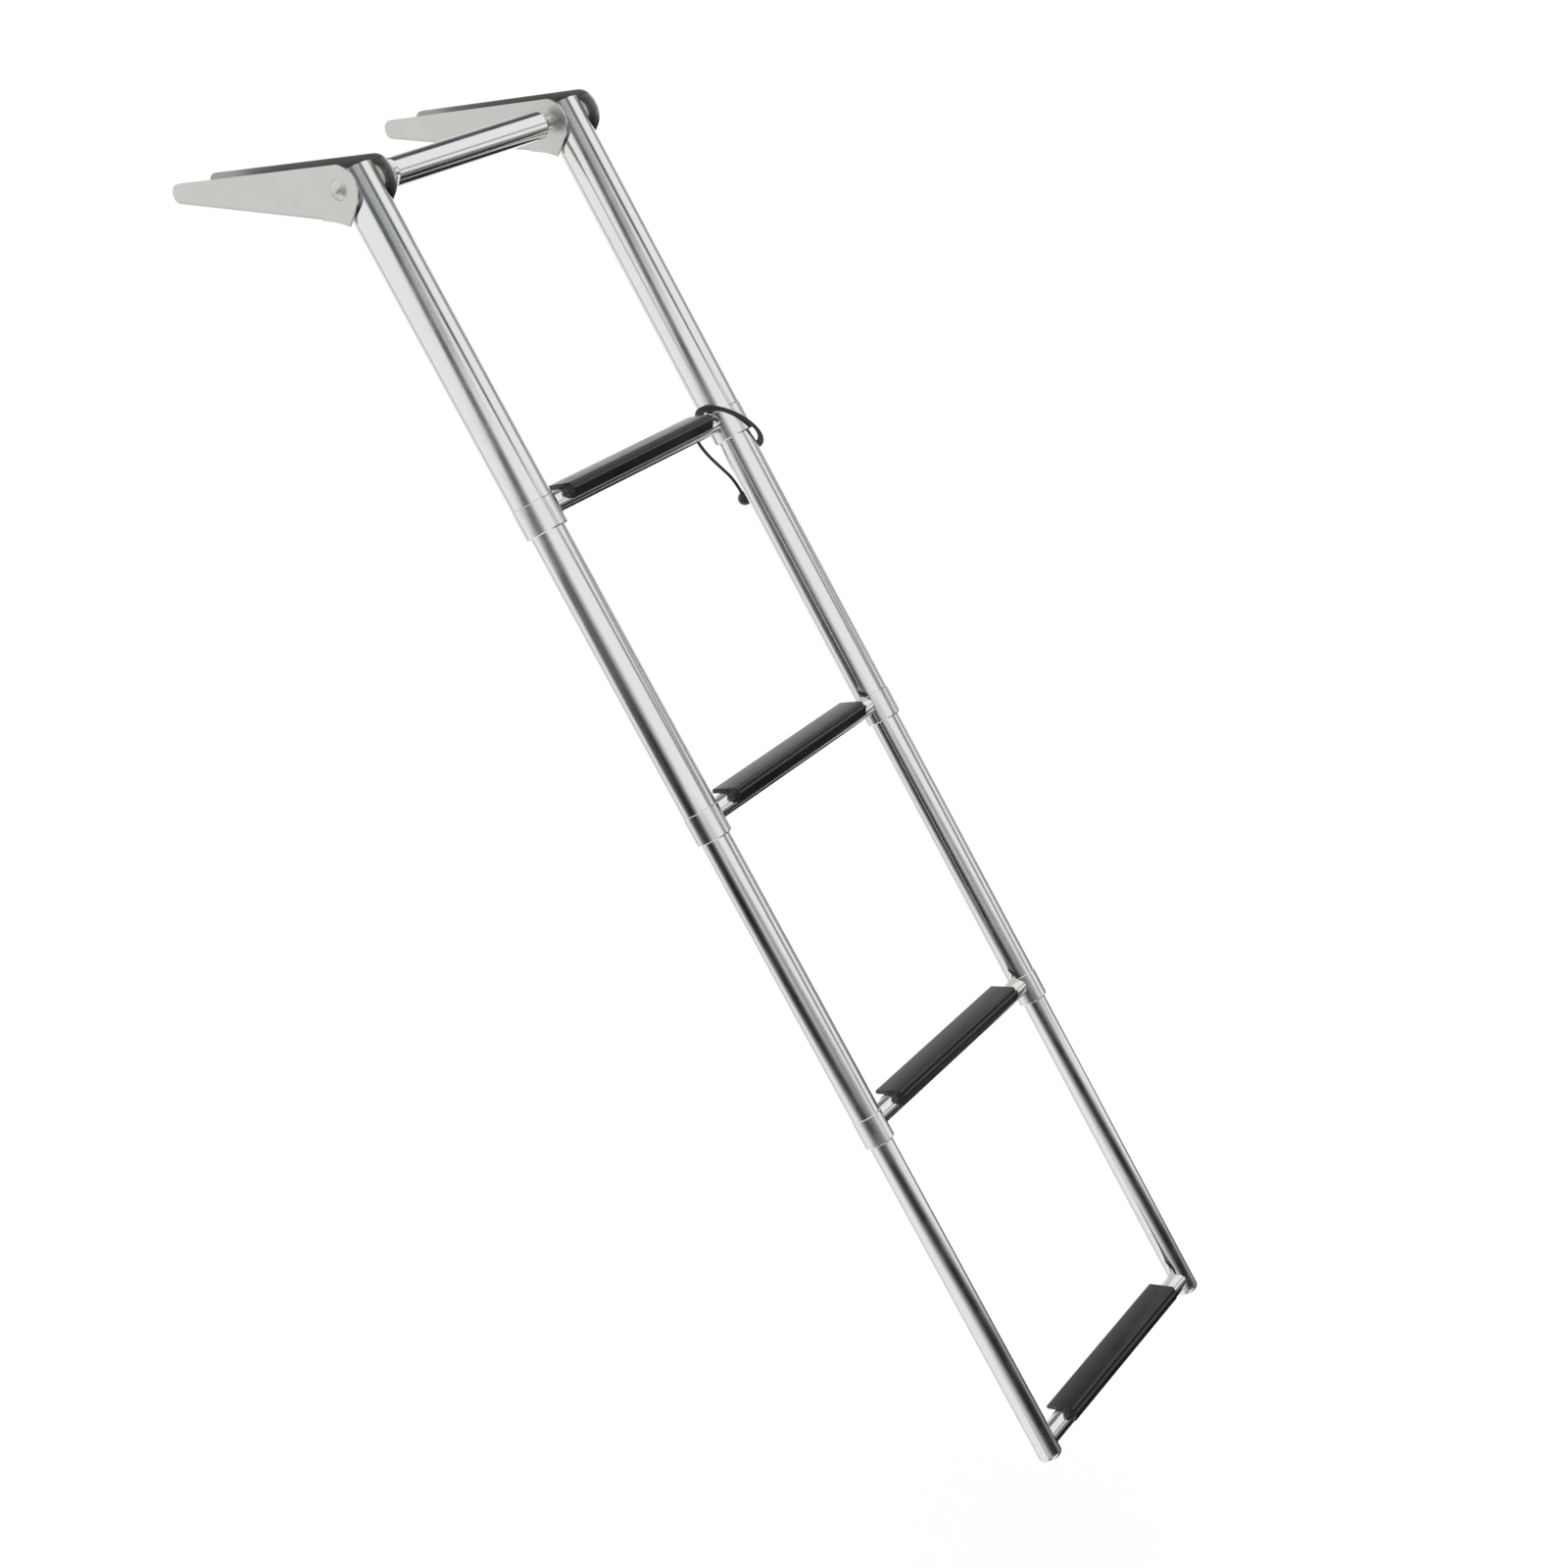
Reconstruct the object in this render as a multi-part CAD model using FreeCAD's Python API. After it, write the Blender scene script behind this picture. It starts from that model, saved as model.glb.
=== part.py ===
# Telescopic boat ladder: two deck brackets with a cross tube, and four nested
# stages of stainless tube that hang from the pivot and slide into one another.
# Millimetres. X runs along the rungs, Y inboard over the deck, Z up.
# The origin is on the underside of the left bracket, on its centre line, at the
# edge of the deck.
import FreeCAD, Part
import math
import os

# Ladder as a whole
STILE_SPACING = 260.0
LEAN_DEG = 30.0
TUBE_OD = [38.0, 32.0, 27.0, 22.0]
TUBE_WALL = [1.5, 1.5, 1.5, 1.5]
RUNG_DROP = [301.0, 593.0, 893.0, 1219.0]
RUNG_OD = 19.0
RUNG_WALL = 1.5
FOOT_BELOW_RUNG = 16.0

# Collars, guides and slide rings
COLLAR_LENGTH = 27.0
COLLAR_ABOVE_RUNG = 8.0
COLLAR_STEP = 0.5
COLLAR_LIP = 2.0
COLLAR_EDGE = 0.8
GUIDE_LENGTH = 29.0
SLIDE_RING_LENGTH = 18.0
SLIDE_STOP_GAP = 0.3
RUNNING_GAP = 0.05
TOP_ABOVE_PIVOT = 11.0

# Treads, measured from the rung's axis
TREAD_TILT_DEG = 15.0
TREAD_FRONT = 18.0
TREAD_BACK = 14.0
TREAD_CROWN = 3.0
TREAD_PLATE = 4.5
TREAD_LEDGE = 3.5
TREAD_LEDGE_DROP = 3.5
TREAD_NOSING = 13.5
TREAD_UNDERCUT = 4.5
TREAD_FRONT_RADIUS = 2.0
TREAD_LEDGE_RADIUS = 1.5
TREAD_LOW_RADIUS = 1.0
TREAD_BACK_RADIUS = 3.0
TREAD_END_MARGIN = 34.0
TREAD_GRIP_WALL = 2.5
TREAD_GRIP_DROP = 4.0
TREAD_GRIP_INSET = 24.0

# Brackets
SHEET = 2.5
CHANNEL_SIDE_GAP = 1.25
BEND_RADIUS = 3.5
PIVOT_HEIGHT = 27.0
PIVOT_OUTBOARD = 24.0
BRACKET_REACH = 205.0
TIP_HEIGHT = 18.0
WALL_TOP_ABOVE_PIVOT = 20.0
NOSE_RADIUS = 20.0
NOSE_FORWARD = 2.0
HEEL_DROP = 2.5
HEEL_FORWARD = 6.0
HEEL_LENGTH = 19.5
HEEL_HOLLOW = 0.7
BASE_STOP_GAP = 0.3
SCREW_HOLE_D = 6.5
SCREW_ROWS = [50.0, 110.0, 170.0]

# Pivot bolts, bushes and cross tube
BOLT_D = 8.0
BOLT_HEAD_D = 18.0
BOLT_HEAD_HEIGHT = 5.0
BOLT_THREAD_LENGTH = 22.0
BUSH_OD = 14.0
BUSH_FLANGE_D = 22.0
BUSH_END_GAP = 0.3
CROSS_TUBE_OD = 25.0
CROSS_TUBE_WALL = 1.5
NECK_RING_D = 15.5
NECK_RING_LENGTH = 2.0
NECK_D = 11.5
NECK_LENGTH = 9.5
PLUG_ROUND = 5.5
PLUG_LENGTH = 24.0

# Foot caps
CAP_THICKNESS = 6.0
CAP_RADIUS = 4.0
CAP_SPIGOT = 16.0

# Retaining strap on the right stile at the first step
STRAP_D = 4.0
STRAP_TILT_DEG = 49.0
STRAP_BELOW_RUNG = 10.0
STRAP_GAP = 0.2
STRAP_TAIL_DEG = 135.0
STRAP_CORD_D = 3.0
STRAP_BALL_D = 13.0
# Route of the free end past the loop: offsets from the right stile's axis along X
# and to the rear of the ladder, and the distance below the first rung.
STRAP_ROUTE = [(-21.5, 20.2, -2.5), (-23.5, 21.6, 7.2), (-20.0, 21.5, 22.0),
               (-10.5, 22.7, 38.0), (0.0, 25.0, 53.0), (2.5, 26.6, 66.5)]

# How near an edge lies to the line that a fillet asks for
EDGE_MATCH = 0.01

# Worked out from the sizes above
LEAN = math.radians(LEAN_DEG)
STAGES = len(TUBE_OD)
TUBE_R = [d / 2 for d in TUBE_OD]
BORE_R = [d / 2 - w for d, w in zip(TUBE_OD, TUBE_WALL)]
RUNG_R = RUNG_OD / 2
COLLAR_TOP = [d - COLLAR_ABOVE_RUNG for d in RUNG_DROP[:-1]]
COLLAR_END = [d + COLLAR_LENGTH for d in COLLAR_TOP]
COLLAR_R = [r + COLLAR_STEP for r in TUBE_R[:-1]]
FOOT_DROP = RUNG_DROP[-1] + FOOT_BELOW_RUNG
STRAP_RING_R = COLLAR_R[0] + STRAP_GAP + STRAP_D / 2
CHANNEL_HALF = TUBE_R[0] + CHANNEL_SIDE_GAP
BRACKET_HALF = CHANNEL_HALF + SHEET
PIVOT = FreeCAD.Vector(0, -PIVOT_OUTBOARD, PIVOT_HEIGHT)
SIDES = {"left": 0.0, "right": STILE_SPACING}
X_AXIS = FreeCAD.Vector(1, 0, 0)
Z_AXIS = FreeCAD.Vector(0, 0, 1)
V = FreeCAD.Vector


def on_ladder(shape):
    """Places a piece that was made with the ladder hanging straight down from the pivot."""
    placed = shape.copy()
    placed.Placement = FreeCAD.Placement(PIVOT, FreeCAD.Rotation(X_AXIS, -LEAN_DEG)) * placed.Placement
    return placed


def rod(radius, start, direction, length):
    return Part.makeCylinder(radius, length, start, direction)


def pipe(outer, inner, x, top, bottom):
    """An upright tube on one stile, from one drop below the pivot to another."""
    length = bottom - top
    foot = V(x, 0, -bottom)
    return rod(outer, foot, Z_AXIS, length).cut(rod(inner, foot, Z_AXIS, length))


def stile_top(stage):
    """The drop of a tube's top end. An inner tube reaches up past the guide and its own slide ring."""
    if stage == 0:
        return -TOP_ABOVE_PIVOT
    return slide_ring_foot(stage) - SLIDE_RING_LENGTH


def slide_ring_foot(stage):
    return COLLAR_END[stage - 1] - COLLAR_LIP - GUIDE_LENGTH - SLIDE_STOP_GAP


def stile_tube(stage, x):
    if stage < STAGES - 1:
        bottom = COLLAR_TOP[stage]
    else:
        bottom = FOOT_DROP - CAP_THICKNESS
    tube = pipe(TUBE_R[stage], BORE_R[stage], x, stile_top(stage), bottom)
    if stage == 0:
        hole = rod(BUSH_OD / 2, V(x - TUBE_OD[0], 0, 0), X_AXIS, 2 * TUBE_OD[0])
        tube = tube.cut(hole)
    return tube


def rung(stage):
    """A round rung, coped to both stile tubes and to their collars, and welded to them."""
    centre = V(0, 0, -RUNG_DROP[stage])
    bar = rod(RUNG_R, centre, X_AXIS, STILE_SPACING)
    bar = bar.cut(rod(RUNG_R - RUNG_WALL, centre, X_AXIS, STILE_SPACING))
    for x in SIDES.values():
        foot = V(x, 0, -RUNG_DROP[stage] - RUNG_OD)
        bar = bar.cut(rod(TUBE_R[stage], foot, Z_AXIS, 2 * RUNG_OD))
        if stage < STAGES - 1:
            bar = bar.cut(rod(COLLAR_R[stage], V(x, 0, -COLLAR_END[stage]), Z_AXIS, COLLAR_LENGTH))
    return bar


def tread(stage):
    """A moulded tread that snaps over the rung, tilted so that its top is near level when the ladder
    hangs: a plate with a rounded back edge, a ledge and an undercut nosing along its front, which is
    coped to the rung, and a lip that grips the rung from behind."""
    length = STILE_SPACING - 2 * TREAD_END_MARGIN
    top = RUNG_R + TREAD_CROWN
    under = top - TREAD_PLATE
    ledge = top - TREAD_LEDGE_DROP
    low = top - TREAD_NOSING
    plate_front = TREAD_LEDGE - TREAD_FRONT
    low_front = TREAD_UNDERCUT - TREAD_FRONT
    profile = [V(0, plate_front, top), V(0, plate_front, ledge), V(0, -TREAD_FRONT, ledge),
               V(0, low_front, low), V(0, 0, low), V(0, 0, under), V(0, TREAD_BACK, under),
               V(0, TREAD_BACK, top), V(0, plate_front, top)]
    body = Part.Face(Part.makePolygon(profile)).extrude(V(length, 0, 0))
    for y, z, radius in ((plate_front, top, TREAD_FRONT_RADIUS), (-TREAD_FRONT, ledge, TREAD_LEDGE_RADIUS),
                         (low_front, low, TREAD_LOW_RADIUS), (TREAD_BACK, top, TREAD_BACK_RADIUS)):
        edges = [e for e in body.Edges if abs(e.Length - length) < EDGE_MATCH
                 and abs(e.BoundBox.YMin - y) < EDGE_MATCH and abs(e.BoundBox.ZMin - z) < EDGE_MATCH]
        body = body.makeFillet(radius, edges)
    grip_r = RUNG_R + TREAD_GRIP_WALL
    grip_length = length - 2 * TREAD_GRIP_INSET
    grip = rod(grip_r, V(TREAD_GRIP_INSET, 0, 0), X_AXIS, grip_length)
    behind = Part.makeBox(grip_length, grip_r, top - TREAD_PLATE / 2 + TREAD_GRIP_DROP,
                          V(TREAD_GRIP_INSET, 0, -TREAD_GRIP_DROP))
    body = body.fuse(grip.common(behind)).cut(rod(RUNG_R, V(0, 0, 0), X_AXIS, length))
    body = body.removeSplitter()
    body.Placement = FreeCAD.Placement(V(TREAD_END_MARGIN, 0, -RUNG_DROP[stage]),
                                       FreeCAD.Rotation(X_AXIS, TREAD_TILT_DEG))
    return body


def collar(stage, x):
    """A turned ferrule below the tube's end, with a lip that holds the guide in."""
    next_r = TUBE_R[stage + 1] + 2 * RUNNING_GAP
    ring = rod(COLLAR_R[stage], V(x, 0, -COLLAR_END[stage]), Z_AXIS, COLLAR_LENGTH)
    ring = ring.makeChamfer(COLLAR_EDGE, [e for e in ring.Edges if len(e.Vertexes) == 1])
    ring = ring.cut(rod(BORE_R[stage], V(x, 0, COLLAR_LIP - COLLAR_END[stage]), Z_AXIS, COLLAR_LENGTH))
    return ring.cut(rod(next_r, V(x, 0, -COLLAR_END[stage]), Z_AXIS, COLLAR_LENGTH))


def guide(stage, x):
    """A nylon guide inside the lower end of a tube, which the next tube runs through."""
    bottom = COLLAR_END[stage] - COLLAR_LIP
    return pipe(BORE_R[stage], TUBE_R[stage + 1] + RUNNING_GAP, x, bottom - GUIDE_LENGTH, bottom)


def slide_ring(stage, x):
    """A nylon ring on the top end of an inner tube. It stops on the guide when the stage is drawn out."""
    foot = slide_ring_foot(stage)
    return pipe(BORE_R[stage - 1] - RUNNING_GAP, TUBE_R[stage], x, foot - SLIDE_RING_LENGTH, foot)


def foot_cap(x):
    """A rounded plug in the lower end of a stage 4 tube."""
    head = rod(TUBE_R[-1], V(x, 0, -FOOT_DROP), Z_AXIS, CAP_THICKNESS)
    low_edge = [e for e in head.Edges if e.BoundBox.ZMax < -FOOT_DROP + EDGE_MATCH]
    head = head.makeFillet(CAP_RADIUS, low_edge)
    spigot = rod(BORE_R[-1], V(x, 0, CAP_THICKNESS - FOOT_DROP), Z_AXIS, CAP_SPIGOT)
    return head.fuse(spigot)


def wall_outline():
    """Side view of a bracket in the YZ plane: rounded nose round the pivot, a falling top edge, a
    rounded tip, a flat underside and a heel that hooks down over the edge of the deck."""
    py = PIVOT.y
    nose = V(0, py - NOSE_FORWARD, PIVOT_HEIGHT + WALL_TOP_ABOVE_PIVOT - NOSE_RADIUS)
    tip_r = TIP_HEIGHT / 2
    tip = V(0, py + BRACKET_REACH - tip_r, tip_r)
    # The top edge is tangent to both rounds
    reach = tip.y - nose.y
    fall = math.atan2(tip.z - nose.z, reach)
    side = math.asin((NOSE_RADIUS - tip_r) / math.hypot(reach, tip.z - nose.z))
    normal = V(0, -math.sin(fall - side), math.cos(fall - side))
    heel = V(0, py - HEEL_FORWARD, -HEEL_DROP)
    to_nose = nose - heel
    turn = math.asin(NOSE_RADIUS / to_nose.Length)
    along = math.atan2(to_nose.z, to_nose.y) + turn
    front_len = math.sqrt(to_nose.Length ** 2 - NOSE_RADIUS ** 2)
    front = heel + V(0, math.cos(along), math.sin(along)) * front_len
    nose_top = nose + normal * NOSE_RADIUS
    nose_mid = nose + V(0, -math.cos(fall), math.sin(-fall)) * NOSE_RADIUS
    tip_top = tip + normal * tip_r
    tip_mid = tip + V(0, math.cos((fall - side) / 2), math.sin((fall - side) / 2)) * tip_r
    tip_foot = V(0, tip.y, 0)
    heel_start = V(0, heel.y + HEEL_LENGTH, 0)
    heel_mid = (heel + heel_start) / 2 + V(0, 0, HEEL_HOLLOW)
    edges = [Part.LineSegment(front, heel).toShape(),
             Part.Arc(heel, heel_mid, heel_start).toShape(),
             Part.LineSegment(heel_start, tip_foot).toShape(),
             Part.Arc(tip_foot, tip_mid, tip_top).toShape(),
             Part.LineSegment(tip_top, nose_top).toShape(),
             Part.Arc(nose_top, nose_mid, front).toShape()]
    return Part.Face(Part.Wire(edges))


def bracket(x):
    """A channel bent from sheet, open on top, that the folded stile lies in."""
    side = wall_outline()
    side.translate(V(x - BRACKET_HALF, 0, 0))
    block = side.extrude(V(2 * BRACKET_HALF, 0, 0))
    box = block.BoundBox
    # The bent channel, with its rounded lower edges, and the heels of its walls
    channel = Part.makeBox(2 * BRACKET_HALF, box.YLength, box.ZMax, V(x - BRACKET_HALF, box.YMin, 0))
    bends = [e for e in channel.Edges
             if abs(e.Length - box.YLength) < EDGE_MATCH and e.BoundBox.ZMax < EDGE_MATCH]
    channel = channel.makeFillet(BEND_RADIUS, bends)
    heel_zone = Part.makeBox(2 * BRACKET_HALF, PIVOT_OUTBOARD + NOSE_FORWARD + NOSE_RADIUS,
                             box.ZLength, V(x - BRACKET_HALF, box.YMin, box.ZMin))
    solid = block.common(channel.fuse(heel_zone))
    room = Part.makeBox(2 * CHANNEL_HALF, box.YLength, box.ZLength, V(x - CHANNEL_HALF, box.YMin, SHEET))
    solid = solid.cut(room)
    # The base stops short of the hanging tube, which rests against its end
    drop = PIVOT_HEIGHT - SHEET
    base_start = PIVOT.y + TUBE_R[0] / math.cos(LEAN) - drop * math.tan(LEAN) + BASE_STOP_GAP
    mouth = Part.makeBox(2 * CHANNEL_HALF, base_start - box.YMin, box.ZLength,
                         V(x - CHANNEL_HALF, box.YMin, box.ZMin))
    solid = solid.cut(mouth)
    under_heel = Part.makeBox(2 * CHANNEL_HALF, box.YLength, HEEL_DROP, V(x - CHANNEL_HALF, box.YMin, -HEEL_DROP))
    solid = solid.cut(under_heel)
    solid = solid.cut(rod(BOLT_D / 2, V(x - 2 * BRACKET_HALF, PIVOT.y, PIVOT.z), X_AXIS, 4 * BRACKET_HALF))
    for row in SCREW_ROWS:
        solid = solid.cut(rod(SCREW_HOLE_D / 2, V(x, PIVOT.y + row, -SHEET), Z_AXIS, 3 * SHEET))
    return solid.removeSplitter()


def pivot_bolt(side):
    """A dome head bolt from the outer wall, through the stile, into the cross tube's plug."""
    out = -1 if side == "left" else 1
    x = SIDES[side]
    face = x + out * BRACKET_HALF
    inner_end = x - out * (BRACKET_HALF + NECK_LENGTH + BOLT_THREAD_LENGTH)
    low, high = sorted((face, inner_end))
    shank = rod(BOLT_D / 2, V(low, PIVOT.y, PIVOT.z), X_AXIS, high - low)
    head_r = BOLT_HEAD_D / 2
    dome_r = (head_r ** 2 + BOLT_HEAD_HEIGHT ** 2) / (2 * BOLT_HEAD_HEIGHT)
    ball = Part.makeSphere(dome_r, V(face + out * (BOLT_HEAD_HEIGHT - dome_r), PIVOT.y, PIVOT.z))
    disc = rod(BOLT_HEAD_D, V(face, PIVOT.y, PIVOT.z), V(out, 0, 0), BOLT_HEAD_D)
    return ball.common(disc).fuse(shank)


def pivot_bush(x):
    """A flanged sleeve through the stile tube, which turns on the bolt. Its flanges keep the tube
    off the walls of the channel."""
    half = CHANNEL_HALF - BUSH_END_GAP
    start = V(x - half, 0, 0)
    sleeve = rod(BUSH_OD / 2, start, X_AXIS, 2 * half)
    flanges = [rod(BUSH_FLANGE_D / 2, start, X_AXIS, half - TUBE_R[0]),
               rod(BUSH_FLANGE_D / 2, V(x + TUBE_R[0], 0, 0), X_AXIS, half - TUBE_R[0])]
    return sleeve.fuse(flanges).cut(rod(BOLT_D / 2 + RUNNING_GAP, start, X_AXIS, 2 * half))


def tube_plug(side):
    """The turned end of the cross tube: a ring against the bracket, a neck, a round shoulder and a
    threaded plug in the tube."""
    outer = CROSS_TUBE_OD / 2
    shoulder = NECK_LENGTH + PLUG_ROUND
    round_mid = V(shoulder - PLUG_ROUND * math.cos(math.pi / 4), outer - PLUG_ROUND * (1 - math.sin(math.pi / 4)), 0)
    inner = outer - CROSS_TUBE_WALL
    end = shoulder + PLUG_LENGTH
    start = V(0, 0, 0)
    corners = [start, V(0, NECK_RING_D / 2, 0), V(NECK_RING_LENGTH, NECK_RING_D / 2, 0),
               V(NECK_RING_LENGTH, NECK_D / 2, 0), V(NECK_LENGTH, NECK_D / 2, 0),
               V(NECK_LENGTH, outer - PLUG_ROUND, 0)]
    shoulder_end = V(shoulder, outer, 0)
    back = [shoulder_end, V(shoulder, inner, 0), V(end, inner, 0), V(end, 0, 0), start]
    edges = Part.makePolygon(corners).Edges
    edges.append(Part.Arc(corners[-1], round_mid, shoulder_end).toShape())
    edges += Part.makePolygon(back).Edges
    plug = Part.Face(Part.Wire(edges)).revolve(start, X_AXIS, 360)
    plug = plug.cut(rod(BOLT_D / 2, start, X_AXIS, NECK_LENGTH + BOLT_THREAD_LENGTH))
    inward = 1 if side == "left" else -1
    half_turn = FreeCAD.Rotation(Z_AXIS, 0 if side == "left" else 180)
    plug.Placement = FreeCAD.Placement(V(SIDES[side] + inward * BRACKET_HALF, PIVOT.y, PIVOT.z), half_turn)
    return plug


def cross_tube():
    end = BRACKET_HALF + NECK_LENGTH + PLUG_ROUND
    start = V(end, PIVOT.y, PIVOT.z)
    length = STILE_SPACING - 2 * end
    return rod(CROSS_TUBE_OD / 2, start, X_AXIS, length).cut(
        rod(CROSS_TUBE_OD / 2 - CROSS_TUBE_WALL, start, X_AXIS, length))


def strap_loop():
    """A ring of elastic round the right stile and its collar, higher on its inner side than outside."""
    ring = Part.makeTorus(STRAP_RING_R, STRAP_D / 2)
    slant = FreeCAD.Matrix()
    slant.A31 = -math.tan(math.radians(STRAP_TILT_DEG))
    ring = ring.transformGeometry(slant)
    ring.translate(V(STILE_SPACING, 0, -RUNG_DROP[0] - STRAP_BELOW_RUNG))
    return ring


def strap_points():
    """The free end's route. It starts inside the loop's elastic, at the inner rear of the stile."""
    turn = math.radians(STRAP_TAIL_DEG)
    x = STRAP_RING_R * math.cos(turn)
    rise = -x * math.tan(math.radians(STRAP_TILT_DEG))
    start = (x, STRAP_RING_R * math.sin(turn), STRAP_BELOW_RUNG - rise)
    return [V(STILE_SPACING + x, rear, -RUNG_DROP[0] - down) for x, rear, down in [start] + STRAP_ROUTE]


def rounded_path(points):
    """Straight runs joined by tangent arcs, each as large as its two runs allow."""
    edges = []
    start = points[0]
    for before, corner, after in zip(points, points[1:], points[2:]):
        to_prev = before - corner
        to_next = after - corner
        turn = math.pi - to_prev.getAngle(to_next)
        shorter = min(to_prev.Length, to_next.Length)
        radius = 0.45 * shorter / math.tan(turn / 2)
        trim = 0.45 * shorter
        a = corner + to_prev.normalize() * trim
        b = corner + to_next.normalize() * trim
        bisector = (to_prev + to_next).normalize()
        reach = radius / math.cos(turn / 2) - radius
        middle = corner + bisector * reach
        edges.append(Part.LineSegment(start, a).toShape())
        edges.append(Part.Arc(a, middle, b).toShape())
        print(f"strap bend: radius {radius:.1f} mm, turn {math.degrees(turn):.0f} deg")
        start = b
    edges.append(Part.LineSegment(start, points[-1]).toShape())
    length = sum(e.Length for e in edges)
    return Part.Wire(edges), length


def strap_cord():
    points = strap_points()
    path, length = rounded_path(points)
    direction = points[1] - points[0]
    circle = Part.Wire(Part.makeCircle(STRAP_CORD_D / 2, points[0], direction))
    tube = path.makePipeShell([circle], True, False)
    ideal = math.pi * STRAP_CORD_D ** 2 / 4 * length
    print(f"strap cord: {length:.1f} mm long, volume {tube.Volume:.0f}, section times length {ideal:.0f}")
    return tube.cut(strap_loop())


def strap_ball():
    points = strap_points()
    direction = (points[-1] - points[-2]).normalize()
    reach = math.sqrt((STRAP_BALL_D / 2) ** 2 - (STRAP_CORD_D / 2) ** 2)
    ball = Part.makeSphere(STRAP_BALL_D / 2, points[-1] + direction * reach)
    cut = rod(STRAP_CORD_D / 2, points[-1] - direction * STRAP_BALL_D, direction, STRAP_BALL_D)
    return ball.cut(cut)


def ladder_nodes():
    nodes = {"cross_tube": cross_tube()}
    for side, x in SIDES.items():
        nodes[f"{side}_bracket"] = bracket(x)
        nodes[f"{side}_pivot_bolt"] = pivot_bolt(side)
        nodes[f"{side}_cross_tube_plug"] = tube_plug(side)
    hanging = {"pivot_bushes": Part.makeCompound([pivot_bush(x) for x in SIDES.values()]),
               "strap_loop": strap_loop(), "strap_cord": strap_cord(), "strap_ball": strap_ball()}
    for stage in range(STAGES):
        number = stage + 1
        hanging[f"rung_{number}"] = rung(stage)
        hanging[f"tread_{number}"] = tread(stage)
        for side, x in SIDES.items():
            hanging[f"{side}_tube_{number}"] = stile_tube(stage, x)
            if stage < STAGES - 1:
                hanging[f"{side}_collar_{number}"] = collar(stage, x)
            else:
                hanging[f"{side}_foot_cap"] = foot_cap(x)
        if stage < STAGES - 1:
            hanging[f"guides_{number}"] = Part.makeCompound([guide(stage, x) for x in SIDES.values()])
        if stage > 0:
            hanging[f"slide_rings_{number}"] = Part.makeCompound([slide_ring(stage, x)
                                                                  for x in SIDES.values()])
    nodes.update({name: on_ladder(shape) for name, shape in hanging.items()})
    return nodes


os.makedirs("parts", exist_ok=True)
for name, shape in ladder_nodes().items():
    if not shape.isValid():
        print("not valid:", name)
    shape.exportStep(f"parts/{name}.step")
    box = shape.BoundBox
    print(f"{name}: {len(shape.Solids)} solid, {shape.Volume / 1000:.1f} cm3, "
          f"y {box.YMin:.1f}..{box.YMax:.1f}, z {box.ZMin:.1f}..{box.ZMax:.1f}")
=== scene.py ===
import math

import bpy
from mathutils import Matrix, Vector


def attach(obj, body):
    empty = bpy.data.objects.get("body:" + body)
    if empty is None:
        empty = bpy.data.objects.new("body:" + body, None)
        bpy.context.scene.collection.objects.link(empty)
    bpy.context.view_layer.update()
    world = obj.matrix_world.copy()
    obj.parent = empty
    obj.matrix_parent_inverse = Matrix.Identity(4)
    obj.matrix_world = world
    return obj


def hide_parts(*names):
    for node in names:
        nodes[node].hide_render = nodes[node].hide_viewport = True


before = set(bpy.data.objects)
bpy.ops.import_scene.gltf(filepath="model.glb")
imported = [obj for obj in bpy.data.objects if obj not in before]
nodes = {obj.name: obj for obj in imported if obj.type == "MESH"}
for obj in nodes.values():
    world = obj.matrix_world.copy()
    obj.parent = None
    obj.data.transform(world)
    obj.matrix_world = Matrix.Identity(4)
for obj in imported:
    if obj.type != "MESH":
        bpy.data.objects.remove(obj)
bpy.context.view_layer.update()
scene = bpy.context.scene

# The photograph's view of the ladder, from its left side, a little above the deck.
# The lens and the place come from the tubes, collars and tread ends in the photograph.
camera_data = bpy.data.cameras.new("photo_camera")
camera_data.sensor_width = 36.0
camera_data.lens = 53.9
camera_data.clip_end = 50.0
camera = bpy.data.objects.new("photo_camera", camera_data)
camera.location = (-1.3450, -1.4540, 0.4325)
camera.rotation_euler = [math.radians(a) for a in (62.98, 4.37, -54.38)]
scene.collection.objects.link(camera)
scene.camera = camera

# Retaining strap, free end: 3 mm elastic shock cord that hangs from the loop on the right stile.
# It carries a ball, which is pushed through a loop to hold the ladder closed.
pivot = Vector((0.0, -0.024, 0.027))
stile_spacing = 0.260
rung_drops = (0.301, 0.593, 0.893, 1.219)
lean = math.radians(30.0)
to_rear = Vector((0.0, math.cos(lean), -math.sin(lean)))
down_stile = Vector((0.0, -math.sin(lean), -math.cos(lean)))


def on_right_stile(x, rear, below_rung_1):
    drop = rung_drops[0] + below_rung_1
    return pivot + Vector((stile_spacing + x, 0.0, 0.0)) + to_rear * rear + down_stile * drop


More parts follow.
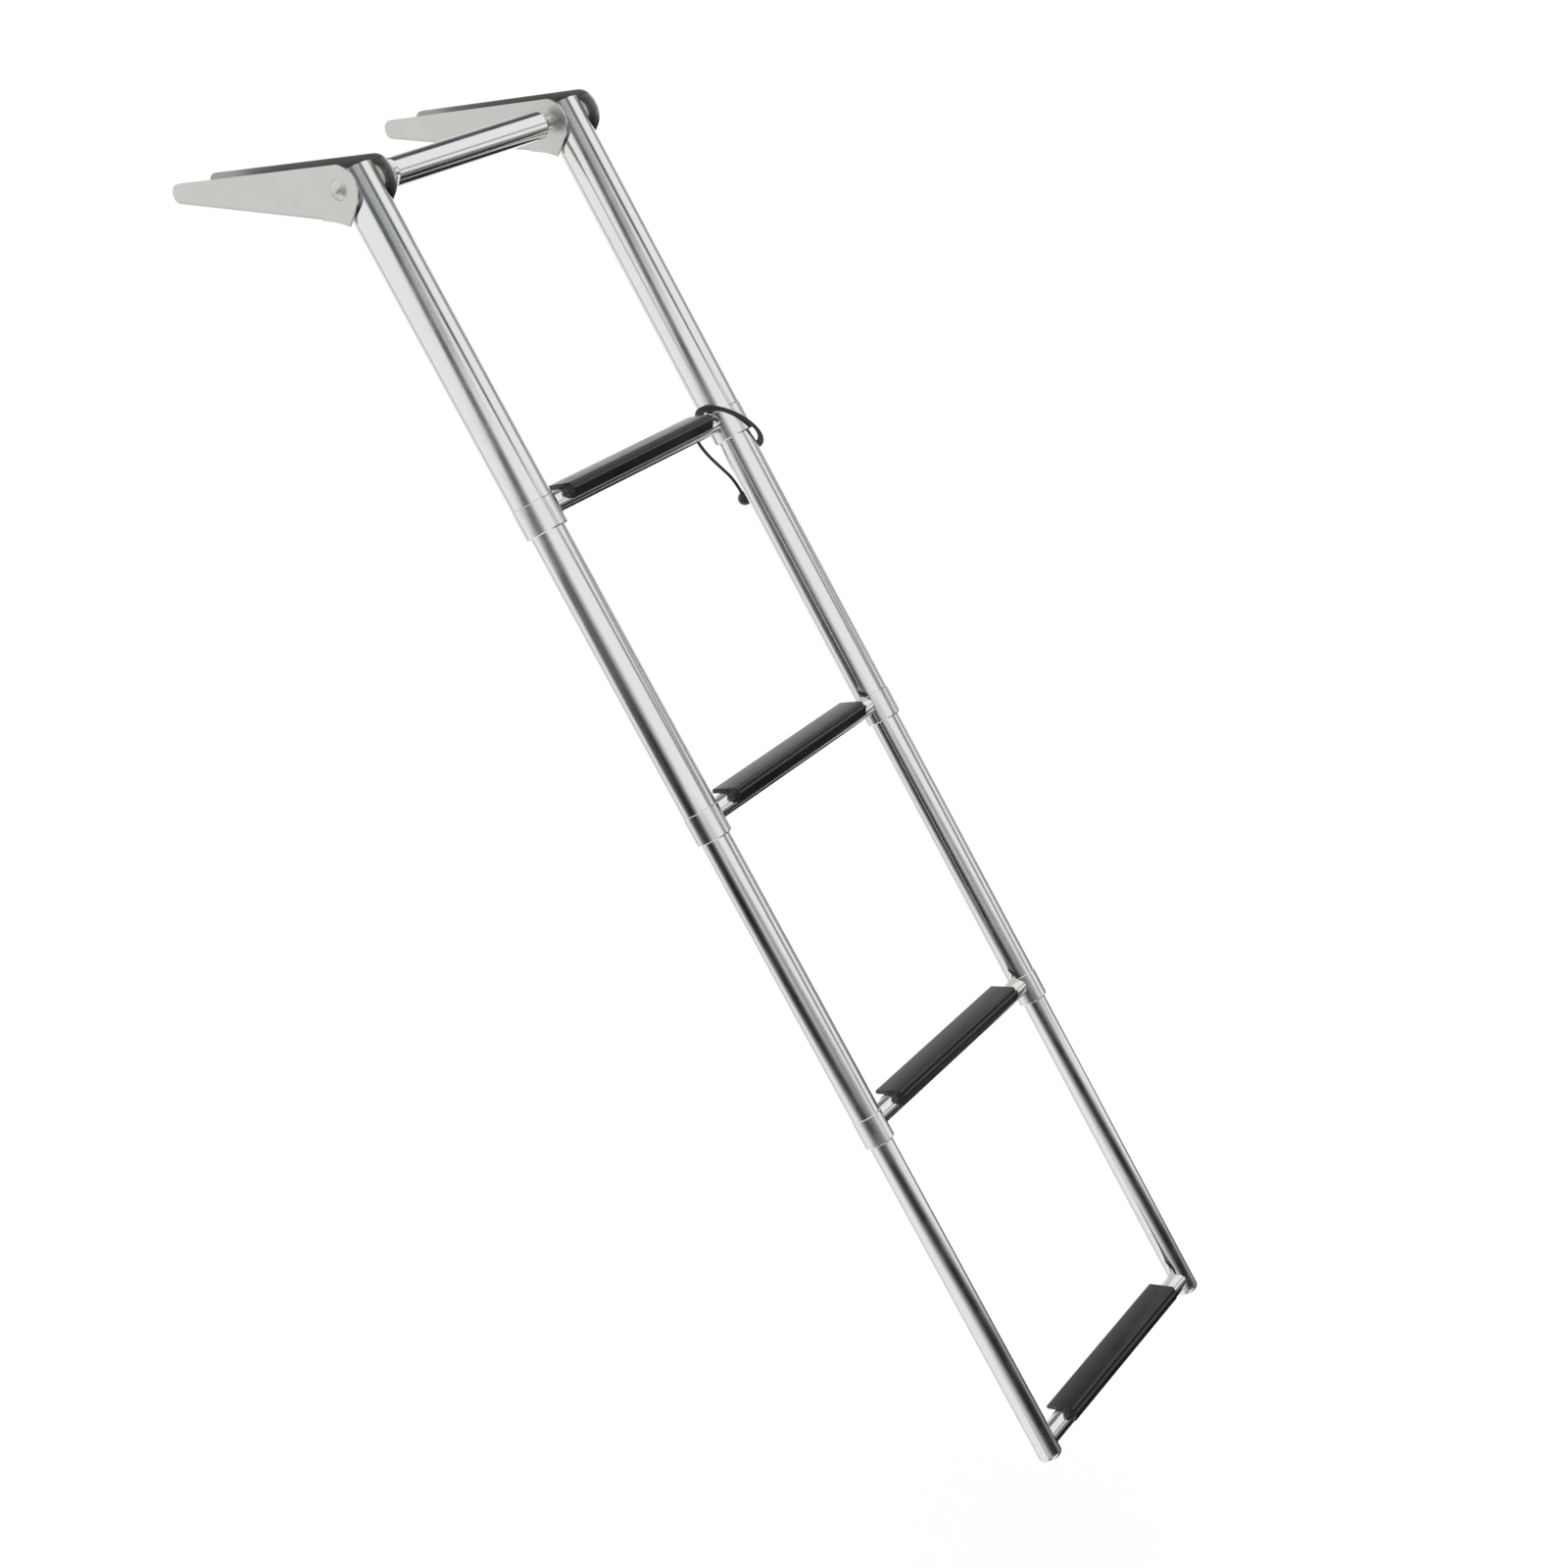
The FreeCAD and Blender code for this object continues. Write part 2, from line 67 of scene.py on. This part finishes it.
def elastic_cord_material(name, weave_scale):
    material = bpy.data.materials.new(name)
    material.use_nodes = True
    tree = material.node_tree
    shader = tree.nodes["Principled BSDF"]
    shader.inputs["Sheen Weight"].default_value = 0.25
    shader.inputs["Sheen Roughness"].default_value = 0.4
    place = tree.nodes.new("ShaderNodeTexCoord")
    turn = tree.nodes.new("ShaderNodeMapping")
    turn.inputs["Rotation"].default_value = (0.6, 0.4, 0.7)
    tree.links.new(place.outputs["Object"], turn.inputs["Vector"])
    strands = tree.nodes.new("ShaderNodeTexVoronoi")
    strands.inputs["Scale"].default_value = weave_scale
    tree.links.new(turn.outputs["Vector"], strands.inputs["Vector"])
    colour = tree.nodes.new("ShaderNodeValToRGB")
    colour.color_ramp.elements[0].color = (0.022, 0.022, 0.024, 1)
    colour.color_ramp.elements[1].color = (0.006, 0.006, 0.007, 1)
    tree.links.new(strands.outputs["Distance"], colour.inputs["Fac"])
    tree.links.new(colour.outputs["Color"], shader.inputs["Base Color"])
    rough = tree.nodes.new("ShaderNodeMapRange")
    rough.inputs["To Min"].default_value = 0.45
    rough.inputs["To Max"].default_value = 0.7
    tree.links.new(strands.outputs["Distance"], rough.inputs["Value"])
    tree.links.new(rough.outputs["Result"], shader.inputs["Roughness"])
    bump = tree.nodes.new("ShaderNodeBump")
    bump.inputs["Strength"].default_value = 0.5
    bump.inputs["Distance"].default_value = 0.0003
    tree.links.new(strands.outputs["Distance"], bump.inputs["Height"])
    tree.links.new(bump.outputs["Normal"], shader.inputs["Normal"])
    return material


shock_cord = elastic_cord_material("shock_cord", 1500.0)
tail_diameter = 0.003
ring_radius = 0.0217
ring_drop = 0.010
ring_slant = math.tan(math.radians(49.0))
tail_turn = math.radians(135.0)
tail_x = ring_radius * math.cos(tail_turn)
tail_start = (tail_x, ring_radius * math.sin(tail_turn), ring_drop + tail_x * ring_slant)
tail_route = [tail_start, (-0.0215, 0.0202, -0.0025), (-0.0235, 0.0216, 0.0072), (-0.0200, 0.0215, 0.0220),
              (-0.0105, 0.0227, 0.0380), (0.0000, 0.0250, 0.0530), (0.0025, 0.0266, 0.0665)]
tail_curve = bpy.data.curves.new("strap_tail", "CURVE")
tail_curve.dimensions = "3D"
tail_curve.bevel_depth = tail_diameter / 2
tail_curve.bevel_resolution = 6
tail_curve.use_fill_caps = True
tail_spline = tail_curve.splines.new("NURBS")
tail_spline.points.add(len(tail_route) - 1)
for point, offset in zip(tail_spline.points, tail_route):
    point.co = (*on_right_stile(*offset), 1.0)
tail_spline.order_u = 3
tail_spline.use_endpoint_u = True
tail_spline.resolution_u = 16
tail = bpy.data.objects.new("strap_tail", tail_curve)
scene.collection.objects.link(tail)
tail_curve.materials.append(shock_cord)
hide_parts("strap_cord")
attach(tail, "stage_1")

# Deck brackets: channels bent from 2.5 mm stainless sheet, with a satin finish that runs along them.
# Each has a rounded nose round the pivot, walls that fall to a rounded tip, and three screw holes.
# The inside of the channel is painted darker than the outside, as painted shade for the recess between its
# walls.
channel_inside = 0.0213


def brushed_sheet_material(name, tint, centre_x, rough_low, rough_high):
    material = bpy.data.materials.new(name)
    material.use_nodes = True
    tree = material.node_tree
    shader = tree.nodes["Principled BSDF"]
    shader.inputs["Metallic"].default_value = 1.0
    place = tree.nodes.new("ShaderNodeTexCoord")
    along = tree.nodes.new("ShaderNodeMapping")
    along.inputs["Scale"].default_value = (900.0, 12.0, 900.0)
    tree.links.new(place.outputs["Object"], along.inputs["Vector"])
    brush = tree.nodes.new("ShaderNodeTexNoise")
    brush.inputs["Scale"].default_value = 1.0
    brush.inputs["Detail"].default_value = 2.0
    tree.links.new(along.outputs["Vector"], brush.inputs["Vector"])
    smear = tree.nodes.new("ShaderNodeTexNoise")
    smear.inputs["Scale"].default_value = 26.0
    smear.inputs["Detail"].default_value = 3.0
    tree.links.new(place.outputs["Object"], smear.inputs["Vector"])
    colour = tree.nodes.new("ShaderNodeMix")
    colour.data_type = "RGBA"
    colour.inputs["A"].default_value = (tint[0] * 0.93, tint[1] * 0.93, tint[2] * 0.93, 1)
    colour.inputs["B"].default_value = (*tint, 1)
    tree.links.new(brush.outputs["Fac"], colour.inputs["Factor"])
    spread = tree.nodes.new("ShaderNodeSeparateXYZ")
    tree.links.new(place.outputs["Object"], spread.inputs["Vector"])
    from_centre = tree.nodes.new("ShaderNodeMath")
    from_centre.operation = "SUBTRACT"
    from_centre.inputs[1].default_value = centre_x
    tree.links.new(spread.outputs["X"], from_centre.inputs[0])
    either_way = tree.nodes.new("ShaderNodeMath")
    either_way.operation = "ABSOLUTE"
    tree.links.new(from_centre.outputs["Value"], either_way.inputs[0])
    inside = tree.nodes.new("ShaderNodeMath")
    inside.operation = "LESS_THAN"
    inside.inputs[1].default_value = channel_inside
    tree.links.new(either_way.outputs["Value"], inside.inputs[0])
    # Painted shade: inside the channel the colour is darkened to stand in for the shade that falls in the
    # recess.
    channel_shade = tree.nodes.new("ShaderNodeMix")
    channel_shade.data_type = "RGBA"
    channel_shade.inputs["B"].default_value = (tint[0] * 0.55, tint[1] * 0.56, tint[2] * 0.57, 1)
    tree.links.new(inside.outputs["Value"], channel_shade.inputs["Factor"])
    tree.links.new(colour.outputs["Result"], channel_shade.inputs["A"])
    tree.links.new(channel_shade.outputs["Result"], shader.inputs["Base Color"])
    both = tree.nodes.new("ShaderNodeMath")
    both.operation = "MULTIPLY_ADD"
    both.inputs[1].default_value = 0.55
    tree.links.new(smear.outputs["Fac"], both.inputs[0])
    half = tree.nodes.new("ShaderNodeMath")
    half.operation = "MULTIPLY"
    half.inputs[1].default_value = 0.45
    tree.links.new(brush.outputs["Fac"], half.inputs[0])
    tree.links.new(half.outputs["Value"], both.inputs[2])
    rough = tree.nodes.new("ShaderNodeMapRange")
    rough.inputs["From Min"].default_value = 0.3
    rough.inputs["From Max"].default_value = 0.7
    rough.inputs["To Min"].default_value = rough_low
    rough.inputs["To Max"].default_value = rough_high
    tree.links.new(both.outputs["Value"], rough.inputs["Value"])
    tree.links.new(rough.outputs["Result"], shader.inputs["Roughness"])
    bump = tree.nodes.new("ShaderNodeBump")
    bump.inputs["Strength"].default_value = 0.05
    bump.inputs["Distance"].default_value = 0.00005
    tree.links.new(brush.outputs["Fac"], bump.inputs["Height"])
    tree.links.new(bump.outputs["Normal"], shader.inputs["Normal"])
    return material


def dress(node, material):
    mesh = nodes[node].data
    mesh.materials.clear()
    mesh.materials.append(material)


sheet_tint = (0.56, 0.56, 0.54)
for side, centre_x in (("left", 0.0), ("right", stile_spacing)):
    satin_sheet = brushed_sheet_material(f"{side}_satin_sheet", sheet_tint, centre_x, 0.26, 0.38)
    dress(f"{side}_bracket", satin_sheet)

# Pivot bolts and the turned ends of the cross tube: bright stainless, off the lathe.
# The bolts go through the brackets and the stiles into the threaded ends of the cross tube.
def polished_steel_material(name, tint, lean_turn, along_scale, rough_low, rough_high):
    material = bpy.data.materials.new(name)
    material.use_nodes = True
    tree = material.node_tree
    shader = tree.nodes["Principled BSDF"]
    shader.inputs["Metallic"].default_value = 1.0
    place = tree.nodes.new("ShaderNodeTexCoord")
    along = tree.nodes.new("ShaderNodeMapping")
    along.inputs["Rotation"].default_value = (lean_turn, 0.0, 0.0)
    along.inputs["Scale"].default_value = along_scale
    tree.links.new(place.outputs["Object"], along.inputs["Vector"])
    draw = tree.nodes.new("ShaderNodeTexNoise")
    draw.inputs["Scale"].default_value = 1.0
    draw.inputs["Detail"].default_value = 2.0
    tree.links.new(along.outputs["Vector"], draw.inputs["Vector"])
    marks = tree.nodes.new("ShaderNodeTexNoise")
    marks.inputs["Scale"].default_value = 34.0
    marks.inputs["Detail"].default_value = 4.0
    tree.links.new(place.outputs["Object"], marks.inputs["Vector"])
    colour = tree.nodes.new("ShaderNodeMix")
    colour.data_type = "RGBA"
    colour.inputs["A"].default_value = (tint[0] * 0.95, tint[1] * 0.955, tint[2] * 0.96, 1)
    colour.inputs["B"].default_value = (*tint, 1)
    tree.links.new(marks.outputs["Fac"], colour.inputs["Factor"])
    tree.links.new(colour.outputs["Result"], shader.inputs["Base Color"])
    rough = tree.nodes.new("ShaderNodeMapRange")
    rough.inputs["From Min"].default_value = 0.35
    rough.inputs["From Max"].default_value = 0.7
    rough.inputs["To Min"].default_value = rough_low
    rough.inputs["To Max"].default_value = rough_high
    tree.links.new(marks.outputs["Fac"], rough.inputs["Value"])
    tree.links.new(rough.outputs["Result"], shader.inputs["Roughness"])
    bump = tree.nodes.new("ShaderNodeBump")
    bump.inputs["Strength"].default_value = 0.006
    bump.inputs["Distance"].default_value = 0.00005
    tree.links.new(draw.outputs["Fac"], bump.inputs["Height"])
    tree.links.new(bump.outputs["Normal"], shader.inputs["Normal"])
    return material


steel_tint = (0.715, 0.71, 0.695)
turned_steel = polished_steel_material("turned_steel", steel_tint, 0.0, (40.0, 700.0, 700.0), 0.12, 0.2)
bolt_steel = polished_steel_material("bolt_steel", (0.58, 0.58, 0.56), 0.0, (40.0, 300.0, 300.0), 0.34, 0.4)
for side in ("left", "right"):
    dress(f"{side}_pivot_bolt", bolt_steel)
    dress(f"{side}_cross_tube_plug", turned_steel)

# Cross tube between the brackets: 25 mm polished tube.
# It keeps the brackets parallel and is the bar that the folded ladder turns round.
crosswise_tube = polished_steel_material("crosswise_tube", steel_tint, 0.0, (8.0, 600.0, 600.0), 0.11, 0.17)
dress("cross_tube", crosswise_tube)

# Nylon parts: the sleeves on the pivot bolts, the guides in the ends of the tubes and the slide rings.
# Natural white nylon, turned, a little translucent and matt.
nylon = bpy.data.materials.new("natural_nylon")
nylon.use_nodes = True
tree = nylon.node_tree
shader = tree.nodes["Principled BSDF"]
shader.inputs["Subsurface Weight"].default_value = 0.15
shader.inputs["Subsurface Radius"].default_value = (0.001, 0.001, 0.001)
grain = tree.nodes.new("ShaderNodeTexNoise")
grain.inputs["Scale"].default_value = 220.0
grain.inputs["Detail"].default_value = 4.0
place = tree.nodes.new("ShaderNodeTexCoord")
tree.links.new(place.outputs["Object"], grain.inputs["Vector"])
colour = tree.nodes.new("ShaderNodeValToRGB")
colour.color_ramp.elements[0].color = (0.78, 0.77, 0.73, 1)
colour.color_ramp.elements[1].color = (0.88, 0.87, 0.84, 1)
tree.links.new(grain.outputs["Fac"], colour.inputs["Fac"])
tree.links.new(colour.outputs["Color"], shader.inputs["Base Color"])
rough = tree.nodes.new("ShaderNodeMapRange")
rough.inputs["To Min"].default_value = 0.38
rough.inputs["To Max"].default_value = 0.55
tree.links.new(grain.outputs["Fac"], rough.inputs["Value"])
tree.links.new(rough.outputs["Result"], shader.inputs["Roughness"])
for node in ("pivot_bushes", "guides_1", "guides_2", "guides_3",
             "slide_rings_2", "slide_rings_3", "slide_rings_4"):
    dress(node, nylon)

# Stile tubes: four sizes of polished stainless tube, drawn, so the faint lines run along them.
# Each stage runs inside the one above.
stile_tube = polished_steel_material("stile_tube", steel_tint, lean, (650.0, 650.0, 7.0), 0.09, 0.15)
for stage in (1, 2, 3, 4):
    for side in ("left", "right"):
        dress(f"{side}_tube_{stage}", stile_tube)

# Collars: short ferrules at the lower ends of stages 1 to 3, turned and polished.
# Each holds the nylon guide for the next stage.
for stage in (1, 2, 3):
    for side in ("left", "right"):
        dress(f"{side}_collar_{stage}", turned_steel)

# Rungs: 19 mm polished tube, coped and welded between the stiles.
for stage in (1, 2, 3, 4):
    dress(f"rung_{stage}", crosswise_tube)

# Treads: black moulded plastic that snaps over the rung, with a fine moulded grain.
# Scuffs from feet, a little paler and rougher, lie at random over the whole tread.
tread_plastic = bpy.data.materials.new("tread_plastic")
tread_plastic.use_nodes = True
tree = tread_plastic.node_tree
shader = tree.nodes["Principled BSDF"]
shader.inputs["IOR"].default_value = 1.46
shader.inputs["Specular IOR Level"].default_value = 0.68
place = tree.nodes.new("ShaderNodeTexCoord")
grain = tree.nodes.new("ShaderNodeTexNoise")
grain.inputs["Scale"].default_value = 900.0
grain.inputs["Detail"].default_value = 3.0
tree.links.new(place.outputs["Object"], grain.inputs["Vector"])
scuff = tree.nodes.new("ShaderNodeTexNoise")
scuff.inputs["Scale"].default_value = 28.0
scuff.inputs["Detail"].default_value = 5.0
tree.links.new(place.outputs["Object"], scuff.inputs["Vector"])
colour = tree.nodes.new("ShaderNodeValToRGB")
colour.color_ramp.elements[0].position = 0.3
colour.color_ramp.elements[0].color = (0.0042, 0.0052, 0.0064, 1)
colour.color_ramp.elements[1].position = 0.8
colour.color_ramp.elements[1].color = (0.0105, 0.013, 0.016, 1)
tree.links.new(scuff.outputs["Fac"], colour.inputs["Fac"])
tree.links.new(colour.outputs["Color"], shader.inputs["Base Color"])
rough = tree.nodes.new("ShaderNodeMapRange")
rough.inputs["From Min"].default_value = 0.3
rough.inputs["From Max"].default_value = 0.7
rough.inputs["To Min"].default_value = 0.19
rough.inputs["To Max"].default_value = 0.28
tree.links.new(scuff.outputs["Fac"], rough.inputs["Value"])
tree.links.new(rough.outputs["Result"], shader.inputs["Roughness"])
# The top is slightly crowned from front to back, with its crest 6 mm behind the rung.
# The first value turns a place in the tread's box into metres across the tread.
metres_across = (0.0, 0.02975, -0.00575)
crest_from_corner = 0.0186
crown_rise = 4.6
across = tree.nodes.new("ShaderNodeVectorMath")
across.operation = "DOT_PRODUCT"
across.inputs[1].default_value = metres_across
tree.links.new(place.outputs["Generated"], across.inputs[0])
from_crest = tree.nodes.new("ShaderNodeMath")
from_crest.operation = "SUBTRACT"
from_crest.inputs[1].default_value = crest_from_corner
tree.links.new(across.outputs["Value"], from_crest.inputs[0])
squared = tree.nodes.new("ShaderNodeMath")
squared.operation = "POWER"
squared.inputs[1].default_value = 2.0
tree.links.new(from_crest.outputs["Value"], squared.inputs[0])
crown = tree.nodes.new("ShaderNodeBump")
crown.inputs["Strength"].default_value = 1.0
crown.inputs["Distance"].default_value = crown_rise
crown.invert = True
tree.links.new(squared.outputs["Value"], crown.inputs["Height"])
bump = tree.nodes.new("ShaderNodeBump")
bump.inputs["Strength"].default_value = 0.12
bump.inputs["Distance"].default_value = 0.0001
tree.links.new(grain.outputs["Fac"], bump.inputs["Height"])
tree.links.new(crown.outputs["Normal"], bump.inputs["Normal"])
tree.links.new(bump.outputs["Normal"], shader.inputs["Normal"])
for stage in (1, 2, 3, 4):
    dress(f"tread_{stage}", tread_plastic)

# Foot caps: rounded stainless plugs pressed into the ends of the lowest tubes.
for side in ("left", "right"):
    dress(f"{side}_foot_cap", turned_steel)

# Retaining strap, loop and ball: the loop is 4 mm elastic cord pulled tight round the right stile.
# The ball is moulded black plastic, glossy, with a faint parting line.
dress("strap_loop", elastic_cord_material("loop_cord", 1100.0))
ball_plastic = bpy.data.materials.new("ball_plastic")
ball_plastic.use_nodes = True
tree = ball_plastic.node_tree
shader = tree.nodes["Principled BSDF"]
shader.inputs["IOR"].default_value = 1.5
place = tree.nodes.new("ShaderNodeTexCoord")
mottle = tree.nodes.new("ShaderNodeTexNoise")
mottle.inputs["Scale"].default_value = 160.0
tree.links.new(place.outputs["Object"], mottle.inputs["Vector"])
colour = tree.nodes.new("ShaderNodeValToRGB")
colour.color_ramp.elements[0].color = (0.008, 0.008, 0.009, 1)
colour.color_ramp.elements[1].color = (0.016, 0.016, 0.018, 1)
tree.links.new(mottle.outputs["Fac"], colour.inputs["Fac"])
tree.links.new(colour.outputs["Color"], shader.inputs["Base Color"])
rough = tree.nodes.new("ShaderNodeMapRange")
rough.inputs["To Min"].default_value = 0.22
rough.inputs["To Max"].default_value = 0.34
tree.links.new(mottle.outputs["Fac"], rough.inputs["Value"])
tree.links.new(rough.outputs["Result"], shader.inputs["Roughness"])
bump = tree.nodes.new("ShaderNodeBump")
bump.inputs["Strength"].default_value = 0.1
bump.inputs["Distance"].default_value = 0.0001
tree.links.new(mottle.outputs["Fac"], bump.inputs["Height"])
tree.links.new(bump.outputs["Normal"], shader.inputs["Normal"])
dress("strap_ball", ball_plastic)

# The studio: a white floor below the feet and an even white surround.
# Large grey and black cards stand far off, out of the camera's sight, and draw the dark bands on the tubes.
floor_mesh = bpy.data.meshes.new("floor")
floor_z = -1.30
floor_half = 30
floor_corners = [(x * floor_half, y * floor_half, floor_z) for x, y in ((-1, -1), (1, -1), (1, 1), (-1, 1))]
floor_mesh.from_pydata(floor_corners, [], [(0, 1, 2, 3)])
floor = bpy.data.objects.new("floor", floor_mesh)
scene.collection.objects.link(floor)
floor_paint = bpy.data.materials.new("floor_paint")
floor_paint.use_nodes = True
shader = floor_paint.node_tree.nodes["Principled BSDF"]
shader.inputs["Base Color"].default_value = (0.94, 0.94, 0.94, 1)
shader.inputs["Roughness"].default_value = 0.9
shader.inputs["Specular IOR Level"].default_value = 0.0
floor_mesh.materials.append(floor_paint)
floor.visible_glossy = False

world = bpy.data.worlds.new("studio")
scene.world = world
world.use_nodes = True
world.node_tree.nodes["Background"].inputs["Color"].default_value = (1.0, 1.0, 1.0, 1)
world.node_tree.nodes["Background"].inputs["Strength"].default_value = 1.1

to_camera = camera.location - pivot
flat_to_camera = (to_camera - down_stile * to_camera.dot(down_stile)).normalized()
camera_right = down_stile.cross(flat_to_camera).normalized()
if camera_right.x < 0:
    camera_right = -camera_right
card_distance = 6.0
card_points = 9


def card_paint(name, shade):
    """Matt paint that fades out towards a card's edges, so that the bands on the tubes are soft."""
    paint = bpy.data.materials.new(name)
    paint.use_nodes = True
    tree = paint.node_tree
    shader = tree.nodes["Principled BSDF"]
    shader.inputs["Base Color"].default_value = (*shade, 1)
    shader.inputs["Roughness"].default_value = 1.0
    shader.inputs["Specular IOR Level"].default_value = 0.0
    cover = tree.nodes.new("ShaderNodeAttribute")
    cover.attribute_name = "cover"
    tree.links.new(cover.outputs["Fac"], shader.inputs["Alpha"])
    return paint


def card(name, paint, rows, fades):
    """A sheet through rows of points. It fades in over the first of two shares of its width and out
    over the second."""
    mesh = bpy.data.meshes.new(name)
    firsts = [row * card_points + k for row in range(len(rows) - 1) for k in range(card_points - 1)]
    faces = [(i, i + 1, i + card_points + 1, i + card_points) for i in firsts]
    mesh.from_pydata([tuple(corner) for row in rows for corner in row], [], faces)
    cover = mesh.attributes.new("cover", "FLOAT", "POINT")
    for i in range(len(mesh.vertices)):
        share = i % card_points / (card_points - 1)
        cover.data[i].value = min(1.0, share / fades[0], (1.0 - share) / fades[1])
    mesh.materials.append(paint)
    sheet = bpy.data.objects.new(name, mesh)
    scene.collection.objects.link(sheet)
    sheet.visible_camera = False
    sheet.visible_shadow = False
    sheet.visible_diffuse = False


def stile_card(name, paint, bands, fades):
    """A curved card round the left stile. Each band gives a drop on the stile, and the two turns from
    the camera, in degrees, between which the card shows in the tube there."""
    rows = []
    for drop, turn_from, turn_to in bands:
        sight = (pivot + down_stile * drop - camera.location).normalized()
        slope = sight.dot(down_stile)
        seen = drop + card_distance * slope / math.sqrt(1.0 - slope ** 2)
        row = []
        for step in range(card_points):
            turn = math.radians(turn_from + (turn_to - turn_from) * step / (card_points - 1))
            facing = flat_to_camera * math.cos(turn) + camera_right * math.sin(turn)
            row.append(pivot + down_stile * seen + facing * card_distance)
        rows.append(row)
    card(name, paint, rows, fades)


grey_paint = card_paint("grey_paint", (0.13, 0.145, 0.16))
black_paint = card_paint("black_paint", (0.022, 0.023, 0.025))
pale_paint = card_paint("pale_paint", (0.34, 0.345, 0.35))
stile_card("upper_band", grey_paint,
           [(-0.10, -10, 30), (0.06, -16, 27), (0.13, -26, 17), (0.20, -34, 8),
            (0.28, -54, 4), (0.36, -94, -2), (0.47, -104, 0), (0.56, -100, 4)], (0.25, 0.35))
stile_card("upper_line_right", black_paint,
           [(-0.10, 38, 74), (0.06, 40, 71), (0.20, 46, 66), (0.28, 50, 61)], (0.45, 0.45))
stile_card("upper_band_between", card_paint("mist_paint", (0.45, 0.47, 0.49)),
           [(-0.10, 8, 62), (0.06, 8, 56), (0.13, 6, 42), (0.18, 4, 32)], (0.3, 0.4))
stile_card("lower_band", black_paint,
           [(0.47, -96, -30), (0.56, -102, -8), (0.68, -104, 2), (0.76, -98, 6), (0.84, -84, 22),
            (0.90, -66, 48), (0.98, -60, 84), (1.08, -34, 136), (1.40, -34, 136)], (0.3, 0.3))
stile_card("lower_haze", card_paint("haze_paint", (0.40, 0.41, 0.42)),
           [(0.60, -10, 16), (0.70, -6, 34), (0.80, -2, 52), (0.90, 10, 74)], (0.2, 0.4))
stile_card("middle_line_right", pale_paint,
           [(0.30, 54, 80), (0.56, 58, 84), (0.70, 62, 90), (0.90, 60, 88)], (0.4, 0.4))
stile_card("right_edge", pale_paint, [(-0.10, 104, 140), (0.90, 104, 140)], (0.35, 0.35))
stile_card("left_edge", card_paint("faint_paint", (0.62, 0.62, 0.61)),
           [(-0.10, -138, -112), (1.30, -138, -112)], (0.4, 0.4))


def upright_card(name, paint, azimuth, half_width, heights, fades):
    """A flat card that stands in one direction from the pivot, between two heights."""
    ahead = Vector((math.cos(math.radians(azimuth)), math.sin(math.radians(azimuth)), 0.0))
    aside = Vector((-ahead.y, ahead.x, 0.0))
    rows = []
    for side in (-half_width, half_width):
        base = pivot + ahead * card_distance + aside * side
        rise = (heights[1] - heights[0]) / (card_points - 1)
        rows.append([base + Vector((0, 0, heights[0] + rise * k)) for k in range(card_points)])
    card(name, paint, rows, fades)


upright_card("nosing_card", black_paint, -24.0, 6.0, (-14.0, -1.3), (0.1, 0.12))
upright_card("cross_line", pale_paint, -46.0, 2.4, (0.65, 1.75), (0.35, 0.35))
upright_card("bolt_card", black_paint, -134.0, 2.0, (-8.0, -1.9), (0.15, 0.15))
upright_card("ceiling_card", card_paint("dusk_paint", (0.085, 0.095, 0.11)), 44.0, 4.5,
             (0.0, 9.0), (0.4, 0.2))

scene.view_settings.view_transform = "Standard"
